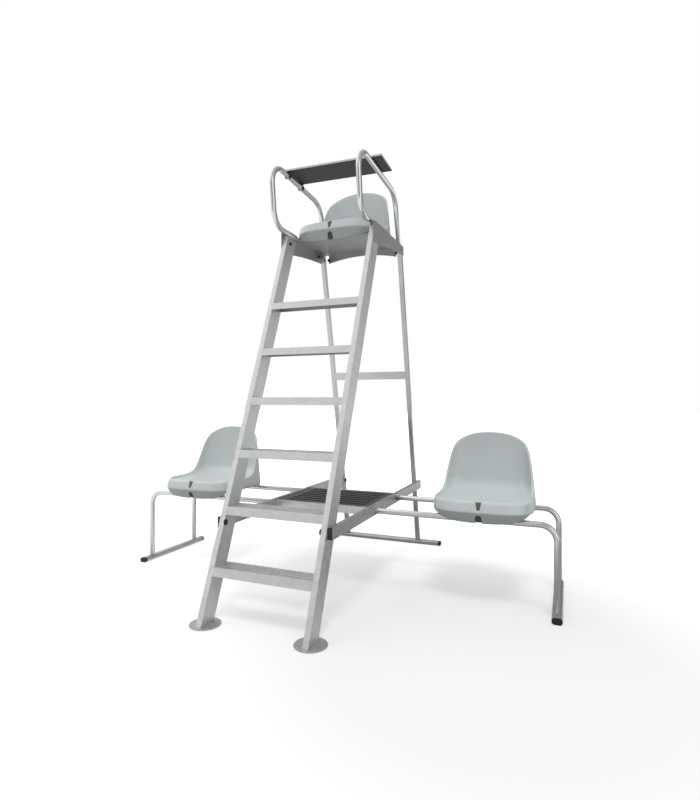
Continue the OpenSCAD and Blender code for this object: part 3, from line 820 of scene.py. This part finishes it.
class UMPIRE_OT_seats(bpy.types.Operator):
    """Mould the three bucket seats"""

    bl_idname = "umpire.seats"
    bl_label = "Seats"
    bl_options = {"REGISTER", "UNDO"}

    def execute(self, context):
        sizes = context.scene.umpire_seat
        bench = self.mould(sizes, SKIRT_DROP)
        high = self.mould(sizes, 0.0)
        self.put(bench, "seat_right", "bucket_seat_right")
        self.put(bench, "seat_left", "bucket_seat_left")
        self.put(high, "seat_top", "bucket_seat_top")
        for pattern in (bench, high):
            bpy.data.objects.remove(pattern, do_unlink=True)
        return {"FINISHED"}

    def mould(self, sizes, skirt_drop):
        seat = ring_mesh(SeatShape(sizes, skirt_drop).rings, "seat_pattern")
        apply_modifier(seat, "SUBSURF", levels=1, render_levels=1)
        drain_block = box_at((-0.021, 0.0060, -0.012), (0.021, 0.050, 0.018))
        shape_with(seat, drain_block, "UNION")
        shape_with(seat, groove_cutter(), "DIFFERENCE")
        shape_with(seat, slot_cutter(), "DIFFERENCE")
        seat = join([seat, self.rib(-1), self.rib(1)])
        return self.with_drain_shade_plates(seat)

    def lean(self, plate, shift):
        """Moves a plate's upper edge back by shift."""
        mesh = edit(plate)
        middle = sum(vert.co.z for vert in mesh.verts) / len(mesh.verts)
        for vert in mesh.verts:
            if vert.co.z > middle:
                vert.co.y += shift
        write_back(plate)
        leave()

    def with_drain_shade_plates(self, seat):
        """Dark plates behind the groove and the slot, in the seat's second material: painted
        shade, standing for the shade inside the openings.
        """
        groove = box_at((-0.017, 0.0060, 0.0), (0.017, 0.0080, 0.040))
        self.lean(groove, 0.0142)
        slot = box_at((-0.018, 0.0305, -0.051), (0.018, 0.0325, -0.008))
        self.lean(slot, -0.0195)
        for plate in (groove, slot):
            apply_modifier(plate, "BEVEL", width=0.0005, segments=2)
            plate.data.materials.append(finish("seat_plastic"))
            plate.data.materials.append(finish("painted_drain_shade"))
            for face in plate.data.polygons:
                face.material_index = 1
        seat.data.materials.clear()
        seat.data.materials.append(finish("seat_plastic"))
        return join([seat, groove, slot])

    def rib(self, side):
        """A rib under the pan, which rests on the seat rail."""
        x, half_width = side * RIB_PLACE, 0.007
        rib = box_at((x - half_width, 0.050, 0.0), (x + half_width, 0.400, 0.017))
        edit(rib)
        select(rib, "EDGE", lambda e: span(e, 2) > 0.01)
        bpy.ops.mesh.bevel(offset=0.004, segments=3)
        leave()
        return rib

    def put(self, pattern, node, name):
        low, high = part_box(node)
        rest = high[2] - bpy.context.scene.umpire_seat.back_height
        seat = duplicate(pattern, ((low[0] + high[0]) / 2, low[1], rest))
        smooth(seat, 40)
        return finish_piece(seat, name, FRAME, "seat_plastic", (node,))


# ---------------------------------------------------------------- box sections, sheet and caps

BOX_PIECES = {
    "ladder_aluminium": ("stile_left", "stile_right"),
    "tread_aluminium_shaded": ("tread_1", "tread_2", "tread_3", "tread_4", "tread_5", "tread_6"),
    "sheet_metal": ("platform", "side_plate_left", "side_plate_right"),
    "square_tube": (
        "rear_leg_left", "rear_leg_right", "cross_rail", "rear_floor_bar",
        "side_bar_left", "side_bar_right", "deck_front_bar", "deck_rear_bar",
        "bench_left_floor_bar", "bench_right_floor_bar",
        "bench_left_seat_rails", "bench_right_seat_rails"),
    "black_plastic": ("rear_bar_caps", "side_bar_caps", "bench_bar_caps"),
    "deck_rubber": ("deck_grating",),
    "foot_steel": ("foot_disc_left", "foot_disc_right"),
}
EDGE_WIDTHS = {
    "ladder_aluminium": 0.0012, "tread_aluminium_shaded": 0.0006, "sheet_metal": 0.0006,
    "square_tube": 0.0012, "black_plastic": 0.0018, "deck_rubber": 0.0008, "foot_steel": 0.0012,
}
GROOVE_FLOORS = (0.0008, 0.0045)     # how far below a tread's top the floors of its grooves lie


class UMPIRE_OT_box_pieces(bpy.types.Operator):
    """Round the edges of the box sections, the sheet metal, the caps and the foot discs"""

    bl_idname = "umpire.box_pieces"
    bl_label = "Box sections, sheet and caps"
    bl_options = {"REGISTER", "UNDO"}

    def execute(self, context):
        for material, nodes in BOX_PIECES.items():
            for node in nodes:
                piece = softened(node, EDGE_WIDTHS[material])
                finish_piece(piece, node + "_finished", FRAME, material, (node,))
                if material == "tread_aluminium_shaded":
                    self.darken_grooves(piece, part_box(node)[1][2])
        return {"FINISHED"}

    def darken_grooves(self, tread, top):
        """Painted shade in the floors of a tread's grooves."""
        tread.data.materials.append(finish("painted_groove_shade"))
        shallow, deep = GROOVE_FLOORS
        for face in tread.data.polygons:
            if face.normal.z > 0.7 and top - deep < face.center.z < top - shallow:
                face.material_index = 1


# ---------------------------------------------------------------- bent tubes

BORE_DEPTH = 0.020       # how far the open ends of a tube are hollow
END_CHAMFER = 0.0004
# Corners of a handrail's centre line: behind the platform's front edge, and above its top.
RAIL_CORNERS = (
    (-0.018, -0.004), (-0.238, -0.004), (-0.278, 0.314), (0.295, 0.280), (0.3711, 0.0035),
)


class TubeSettings(bpy.types.PropertyGroup):
    """Sizes of the bent tubes."""

    diameter: bpy.props.FloatProperty(
        name="Diameter", description="Outside diameter of the tube",
        default=0.027, unit="LENGTH")
    wall: bpy.props.FloatProperty(
        name="Wall", description="Wall of the tube", default=0.002, unit="LENGTH")
    bench_bend: bpy.props.FloatProperty(
        name="Bench bend", description="Bend radius of a bench tube, on its centre line",
        default=0.0715, unit="LENGTH")
    rail_foot_bend: bpy.props.FloatProperty(
        name="Rail foot bend", description="Bend radius at the foot of a handrail",
        default=0.090, unit="LENGTH")
    rail_top_bend: bpy.props.FloatProperty(
        name="Rail top bend", description="Bend radius at the top front of a handrail",
        default=0.095, unit="LENGTH")
    rail_rear_bend: bpy.props.FloatProperty(
        name="Rail rear bend", description="Bend radius at the rear of a handrail",
        default=0.110, unit="LENGTH")


def rounded_path(corners, radii, steps=14):
    """Points along a run of straight lines whose inner corners are rounded."""
    points = [Vector(corners[0])]
    for before, corner, after, radius in zip(corners, corners[1:], corners[2:], radii):
        before, corner, after = Vector(before), Vector(corner), Vector(after)
        come, go = (corner - before).normalized(), (after - corner).normalized()
        turn = come.angle(go)
        reach = radius * math.tan(turn / 2)
        centre_way = (go - come).normalized()
        middle = corner + centre_way * (radius / math.cos(turn / 2))
        start = corner - come * reach - middle
        across = corner + go * reach - middle
        for step in range(steps + 1):
            t = step / steps
            points.append(middle + (
                start * math.sin((1 - t) * turn) + across * math.sin(t * turn)) / math.sin(turn))
    points.append(Vector(corners[-1]))
    return points


def swept_tube(name, points, sideways, sizes, sides=40):
    """A round tube along a flat path, open and hollow for a short way at both ends."""
    radius = sizes.diameter / 2
    bore = radius - sizes.wall
    turns = [2 * math.pi * i / sides for i in range(sides)]

    def ring(place, along, r):
        over = along.cross(sideways).normalized()
        return [place + r * (math.cos(turn) * sideways + math.sin(turn) * over) for turn in turns]

    def end(place, along, inward):
        """The rings of an open end, from the depth of the bore out and over its edge."""
        return [
            ring(place + inward * BORE_DEPTH, along, bore), ring(place, along, bore),
            ring(place, along, radius - END_CHAMFER),
            ring(place + inward * END_CHAMFER, along, radius)]

    heading = [(b - a).normalized() for a, b in zip(points, points[1:])]
    mean = [(a + b).normalized() for a, b in zip(heading, heading[1:])]
    rings = end(points[0], heading[0], heading[0])
    rings += [ring(place, along, radius) for place, along in zip(points[1:-1], mean)]
    rings += reversed(end(points[-1], heading[-1], -heading[-1]))
    return ring_mesh(rings, name)


class UMPIRE_OT_tubes(bpy.types.Operator):
    """Bend the bench tubes and the handrails"""

    bl_idname = "umpire.tubes"
    bl_label = "Bench tubes and handrails"
    bl_options = {"REGISTER", "UNDO"}

    def execute(self, context):
        sizes = context.scene.umpire_tube
        for side in ("left", "right"):
            for row in ("front", "rear"):
                self.bench_tube("bench_" + side + "_" + row + "_tube", sizes)
            self.handrail("handrail_" + side, sizes)
        return {"FINISHED"}

    def bench_tube(self, node, sizes):
        low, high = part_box(node)
        radius = sizes.diameter / 2
        y, z = (low[1] + high[1]) / 2, high[2] - radius
        near, far = (low[0], high[0] - radius) if low[0] > 0 else (high[0], low[0] + radius)
        corners = [(near, y, z), (far, y, z), (far, y, low[2])]
        self.tube(node, corners, [sizes.bench_bend], Vector((0, 1, 0)), sizes)

    def handrail(self, node, sizes):
        low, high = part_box(node)
        front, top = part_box("platform")[0][1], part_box("platform")[1][2]
        x = (low[0] + high[0]) / 2
        corners = [(x, front + behind, top + above) for behind, above in RAIL_CORNERS]
        bends = [sizes.rail_foot_bend, sizes.rail_top_bend, sizes.rail_rear_bend]
        self.tube(node, corners, bends, Vector((1, 0, 0)), sizes)

    def tube(self, node, corners, bends, sideways, sizes):
        piece = swept_tube(node + "_piece", rounded_path(corners, bends), sideways, sizes)
        smooth(piece, 50)
        finish_piece(piece, node + "_finished", FRAME, "bright_tube", (node,))


# ---------------------------------------------------------------- the desk


class UMPIRE_OT_desk(bpy.types.Operator):
    """Edge the desk board with its light band and round its clips"""

    bl_idname = "umpire.desk"
    bl_label = "Desk"
    bl_options = {"REGISTER", "UNDO"}

    def execute(self, context):
        board = softened("desk_board", 0.0009)
        flat = max(board.data.polygons, key=lambda f: f.area).normal.copy()
        finish_piece(board, "desk_board_finished", DESK, "desk_laminate",
                     ("desk_board",))
        board.data.materials.append(finish("desk_band"))
        for face in board.data.polygons:
            face.material_index = 0 if abs(face.normal.dot(flat)) > 0.95 else 1
        for node in ("desk_clip_front", "desk_clip_rear"):
            clip = softened(node, 0.0007)
            finish_piece(clip, node + "_finished", DESK, "black_plastic", (node,))
        return {"FINISHED"}


# ---------------------------------------------------------------- bolts, cap nuts and brackets

SHEET = 0.003                      # the sheet of the platform and the side plates
STILE_BOLT = (-0.050, 1.777)       # y and z of the bolts on the chair's right; the left mirrors it
PLATE_FRONT_BOLT = (-0.022, 1.793)
PLATE_REAR_BOLT = (0.352, 1.811)
APRON_BOLT = (0.218, 1.801)        # x and z
SEAT_BOLTS = (0.105, 0.270)        # y
CAP_NUTS = (-0.633, 0.712)         # y, on the stiles and on the rear legs
CAP_NUT_RISE = 0.006               # the front ones stand this much above the side bars' middle
PLATE_THICKNESS = 0.0035           # of the brackets at the bench tubes' inner ends


class UMPIRE_OT_fittings(bpy.types.Operator):
    """Fit the bolts, the cap nuts and the brackets at the ends of the bench tubes"""

    bl_idname = "umpire.fittings"
    bl_label = "Bolts, cap nuts and brackets"
    bl_options = {"REGISTER", "UNDO"}

    def execute(self, context):
        self.bolts()
        self.cap_nuts()
        self.brackets()
        return {"FINISHED"}

    def bolt(self, washer, across, head):
        """A hexagon-headed bolt on its washer, pointing up."""
        ring = turned_disc(radius=washer, height=0.0014, sides=28, edge=0.0004)
        corner = across / 2 / math.cos(math.pi / 6)
        top = turned_disc(radius=corner, height=head, sides=6, edge=0.0008)
        top.location.z = 0.0012
        settle(top)
        dome = turned_disc(radius=across * 0.40, height=0.0010, sides=24, edge=0.0005)
        dome.location.z = 0.0010 + head
        settle(dome)
        return join([ring, top, dome])

    def set_out(self, pattern, name, material, slot, places):
        """Copies of a fitting at each place, as one piece; the pattern itself is removed."""
        piece = join([placed(pattern, place, facing, name) for place, facing in places])
        bpy.data.objects.remove(pattern, do_unlink=True)
        smooth(piece, 30)
        return finish_piece(piece, name, FRAME, material)

    def set_out_dark(self, pattern, name, places):
        return self.set_out(pattern, name, "black_plastic", "black_plastic", places)

    def set_out_zinc(self, pattern, name, places):
        return self.set_out(pattern, name, "zinc_bolt", "platform_sheet", places)

    def bolts(self):
        plate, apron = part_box("side_plate_right"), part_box("platform")
        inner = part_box("stile_right")[0][0]
        outer, rear, under = plate[1][0], apron[1][1], apron[1][2] - SHEET
        dark, light = [], []
        for side in (-1, 1):
            apron_x, apron_z = side * APRON_BOLT[0], APRON_BOLT[1]
            dark += [
                ((side * inner, *STILE_BOLT), (-side, 0, 0)),
                ((apron_x, rear - SHEET, apron_z), (0, -1, 0)),
                ((side * (plate[0][0] - SHEET), *PLATE_REAR_BOLT), (-side, 0, 0)),
            ]
            light += [
                ((side * outer, *PLATE_FRONT_BOLT), (side, 0, 0)),
                ((side * outer, *PLATE_REAR_BOLT), (side, 0, 0)),
                ((apron_x, rear, apron_z), (0, 1, 0)),
            ]
            light += [((side * RIB_PLACE, y, under), (0, 0, -1)) for y in SEAT_BOLTS]
        self.set_out_dark(self.bolt(washer=0.0095, across=0.013, head=0.006), "dark_bolts", dark)
        self.set_out_zinc(self.bolt(washer=0.0090, across=0.013, head=0.005), "light_bolts", light)

    def cap_nut(self):
        """A low black cap nut with a fluted edge, on the origin and pointing up."""
        deselect()
        bpy.ops.mesh.primitive_cylinder_add(
            vertices=48, radius=0.0140, depth=0.0034, location=(0, 0, 0.0017))
        cap = bpy.context.object
        settle(cap)
        mesh = edit(cap)
        for vert in mesh.verts:
            turn = math.atan2(vert.co.y, vert.co.x)
            squeeze = 1 - 0.06 * (1 - math.cos(8 * turn)) / 2
            vert.co.x *= squeeze
            vert.co.y *= squeeze
        write_back(cap)
        select(cap, "FACE", lambda f: f.normal.z > 0.9)
        for inset, rise in ((0.0025, 0.0016), (0.0050, 0.0010)):
            bpy.ops.mesh.inset(thickness=inset)
            bpy.ops.transform.translate(value=(0, 0, rise))
        leave()
        apply_modifier(cap, "BEVEL", width=0.0006, segments=2, limit_method="ANGLE",
                       angle_limit=CORNER)
        return cap

    def cap_nuts(self):
        stile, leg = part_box("stile_right"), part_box("rear_leg_right")
        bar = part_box("side_bar_right")
        height = (bar[0][2] + bar[1][2]) / 2 + CAP_NUT_RISE
        places = []
        for side in (-1, 1):
            places.append(((side * stile[0][0], CAP_NUTS[0], height), (-side, 0, 0)))
            places.append(((side * leg[0][0], CAP_NUTS[1], height - CAP_NUT_RISE), (-side, 0, 0)))
        self.set_out_dark(self.cap_nut(), "cap_nuts", places)

    def brackets(self):
        """Plates welded on the inner ends of the bench tubes, each bolted to its side bar."""
        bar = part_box("side_bar_right")
        x, z0, z1 = bar[1][0], bar[0][2] + 0.003, bar[1][2] - 0.003
        shiny, plates, dark = [], [], []
        for row, bolts in (("front", shiny), ("rear", dark)):
            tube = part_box("bench_right_" + row + "_tube")
            y0, y1 = tube[0][1] - 0.026, tube[1][1] + 0.006
            for side in (-1, 1):
                plates.append(self.plate(side, x, y0, y1, z0, z1))
                place = (side * (x + PLATE_THICKNESS), y0 + 0.011, (z0 + z1) / 2)
                bolts.append((place, (side, 0, 0)))
        finish_piece(join(plates), "bench_brackets", FRAME, "square_tube")
        sizes = {"washer": 0.0085, "across": 0.011, "head": 0.005}
        self.set_out_zinc(self.bolt(**sizes), "bench_bolts_front", shiny)
        self.set_out_dark(self.bolt(**sizes), "bench_bolts_rear", dark)

    def plate(self, side, x, y0, y1, z0, z1):
        near, far = sorted((side * x, side * (x + PLATE_THICKNESS)))
        plate = box_at((near, y0, z0), (far, y1, z1))
        edit(plate)
        select(plate, "EDGE", lambda e: span(e, 0) > 0.002)
        bpy.ops.mesh.bevel(offset=0.006, segments=4)
        leave()
        apply_modifier(plate, "BEVEL", width=0.0007, segments=2, limit_method="ANGLE",
                       angle_limit=math.radians(40))
        smooth(plate, 40)
        return plate


# ---------------------------------------------------------------- the stage


class UMPIRE_OT_stage(bpy.types.Operator):
    """Lay the floor and set the lamps, the surround and the camera"""

    bl_idname = "umpire.stage"
    bl_label = "Stage"
    bl_options = {"REGISTER", "UNDO"}

    # The studio's bright areas: the way to each; how nearly a ray has to point that way for the
    # area to begin and to be full, as cosines; and its level outside and inside.
    BRIGHT_AREAS = (
        ((-0.95, -0.12, 0.32), 0.0, 0.95, 0.05, 1.08),
        ((0.55, 0.835, 0.04), 0.955, 0.99, 0.0, 1.4),
        ((0.80, -0.58, 0.15), 0.72, 0.97, 0.0, 1.35),
    )
    TOP_LAMP = Vector((0.7, -1.6, 4.0))
    SIDE_LAMP = Vector((-2.6, -2.8, 2.8))
    SIDE_LAMP_AIM = Vector((0.0, 0.0, 1.0))

    def execute(self, context):
        stage = context.scene.umpire_stage
        self.floor(stage.floor_lift)
        self.surround(stage.sky)
        turn = self.TOP_LAMP.to_track_quat("Z", "Y")
        sun = self.lamp("SUN", "top_lamp", self.TOP_LAMP, turn, stage.top_power)
        sun.angle = math.radians(16)
        turn = (self.SIDE_LAMP_AIM - self.SIDE_LAMP).to_track_quat("-Z", "Y")
        softbox = self.lamp("AREA", "side_lamp", self.SIDE_LAMP, turn, stage.side_power)
        softbox.shape = "DISK"
        softbox.size = 2.2
        self.camera(stage)
        return {"FINISHED"}

    def camera(self, stage):
        bpy.ops.object.camera_add(
            location=stage.camera_place, rotation=(math.pi / 2, 0, stage.camera_turn))
        camera = bpy.context.object
        camera.name = "camera"
        camera.data.lens = stage.lens
        camera.data.sensor_width = 36
        camera.data.clip_end = 100
        bpy.context.scene.camera = camera
        bpy.context.scene.view_settings.view_transform = "Standard"

    def floor(self, lift):
        """A pale floor that keeps shadows; to the camera and in metal it is lifted to white, less
        so near the chair, which paints a soft shade round it.
        """
        deselect()
        bpy.ops.mesh.primitive_plane_add(size=80, location=(0, 0, 0))
        floor = bpy.context.object
        floor.name = "floor"
        shade = Shader("studio_floor")
        seen = shade.node("ShaderNodeLightPath").outputs
        pale = shade.blend(seen["Is Camera Ray"], (0.24, 0.24, 0.24), (0.50, 0.50, 0.505))
        shade.set(Base_Color=pale, Roughness=0.9, Specular_IOR_Level=0.0)
        # The camera's lift grows with the distance from a point by the chair's right front: far
        # off the floor turns white, and near the chair it stays darker as painted soft shade.
        far = shade.measured("DISTANCE", shade.place, (0.9, -0.6, 0.0))
        shown = shade.maths(
            "MULTIPLY", seen["Is Camera Ray"], shade.spread(far, lift, 2.4 * lift, 0.6, 3.6))
        forward = shade.measured("DOT_PRODUCT", shade.place, (-0.6, -0.8, 0.0))
        near = shade.spread(forward, 0.10, 0.80, -0.4, 1.5)
        beyond = shade.spread(forward, 0.80, 0.0, -6.0, -2.0)
        mirrored = shade.maths("MULTIPLY", seen["Is Glossy Ray"], shade.maths("ADD", near, beyond))
        glow = shade.node("ShaderNodeEmission")
        shade.feed(glow.inputs["Strength"], shade.maths("ADD", shown, mirrored))
        both = shade.node("ShaderNodeAddShader")
        shade.link(shade.surface.outputs["BSDF"], both.inputs[0])
        shade.link(glow.outputs["Emission"], both.inputs[1])
        output = shade.tree.nodes["Material Output"]
        shade.link(both.outputs["Shader"], output.inputs["Surface"])
        floor.data.materials.append(shade.material)

    def surround(self, strength):
        """White to the camera; to the chair a sky that brightens upwards, and the bright areas."""
        world = bpy.data.worlds.new("studio")
        bpy.context.scene.world = world
        world.use_nodes = True
        world.node_tree.nodes.clear()
        nodes = Nodes(world.node_tree)
        way = nodes.node("ShaderNodeTexCoord").outputs["Generated"]
        height = nodes.node("ShaderNodeSeparateXYZ")
        nodes.link(way, height.inputs["Vector"])
        total = nodes.spread(height.outputs["Z"], 0.0, 0.56, 0.10, 0.70, "SMOOTHSTEP")
        for towards, start, full, outside, inside in self.BRIGHT_AREAS:
            turned = nodes.measured("DOT_PRODUCT", way, towards)
            area = nodes.spread(turned, outside, inside, start, full, "SMOOTHSTEP")
            total = nodes.maths("ADD", total, area)
        room = nodes.node("ShaderNodeBackground")
        nodes.feed(room.inputs["Color"], (0.985, 0.992, 1.0))
        nodes.feed(room.inputs["Strength"], nodes.maths("MULTIPLY", total, strength))
        white = nodes.node("ShaderNodeBackground")
        nodes.feed(white.inputs["Color"], (1, 1, 1))
        seen = nodes.node("ShaderNodeLightPath")
        either = nodes.node("ShaderNodeMixShader")
        output = nodes.node("ShaderNodeOutputWorld")
        nodes.link(seen.outputs["Is Camera Ray"], either.inputs["Fac"])
        nodes.link(room.outputs["Background"], either.inputs[1])
        nodes.link(white.outputs["Background"], either.inputs[2])
        nodes.link(either.outputs["Shader"], output.inputs["Surface"])

    def lamp(self, kind, name, place, turn, power):
        """A lamp that lights the chair but is not mirrored in it."""
        deselect()
        bpy.ops.object.light_add(type=kind, location=place, rotation=turn.to_euler())
        lamp = bpy.context.object
        lamp.name = name
        lamp.visible_glossy = False
        lamp.data.energy = power
        return lamp.data


# ---------------------------------------------------------------- panel


class UMPIRE_PT_panel(bpy.types.Panel):
    """Sizes, finishes and pieces of the umpire chair"""

    bl_idname = "UMPIRE_PT_panel"
    bl_label = "Umpire Chair"
    bl_space_type = "VIEW_3D"
    bl_region_type = "UI"
    bl_category = "Umpire Chair"

    def draw(self, context):
        scene = context.scene
        for title, settings in (
                ("Seat", scene.umpire_seat), ("Tubes", scene.umpire_tube),
                ("Finishes", scene.umpire_finish), ("Stage", scene.umpire_stage)):
            box = self.layout.box()
            box.label(text=title)
            for name in settings.__annotations__:
                box.prop(settings, name)
        column = self.layout.column(align=True)
        for piece in STEPS:
            column.operator("umpire." + piece)


# ---------------------------------------------------------------- run

STEPS = ("finishes", "seats", "box_pieces", "tubes", "desk", "fittings", "stage")

CLASSES = [
    SeatSettings, TubeSettings, FinishSettings, StageSettings,
    UMPIRE_OT_finishes, UMPIRE_OT_seats, UMPIRE_OT_box_pieces, UMPIRE_OT_tubes, UMPIRE_OT_desk,
    UMPIRE_OT_fittings, UMPIRE_OT_stage, UMPIRE_PT_panel,
]


def register():
    for cls in CLASSES:
        bpy.utils.register_class(cls)
    bpy.types.Scene.umpire_seat = bpy.props.PointerProperty(type=SeatSettings)
    bpy.types.Scene.umpire_tube = bpy.props.PointerProperty(type=TubeSettings)
    bpy.types.Scene.umpire_finish = bpy.props.PointerProperty(type=FinishSettings)
    bpy.types.Scene.umpire_stage = bpy.props.PointerProperty(type=StageSettings)


def unregister():
    del bpy.types.Scene.umpire_stage
    del bpy.types.Scene.umpire_finish
    del bpy.types.Scene.umpire_tube
    del bpy.types.Scene.umpire_seat
    for cls in reversed(CLASSES):
        bpy.utils.unregister_class(cls)


def main():
    register()
    for step in STEPS:
        getattr(bpy.ops.umpire, step)()


if __name__ == "__main__":
    main()
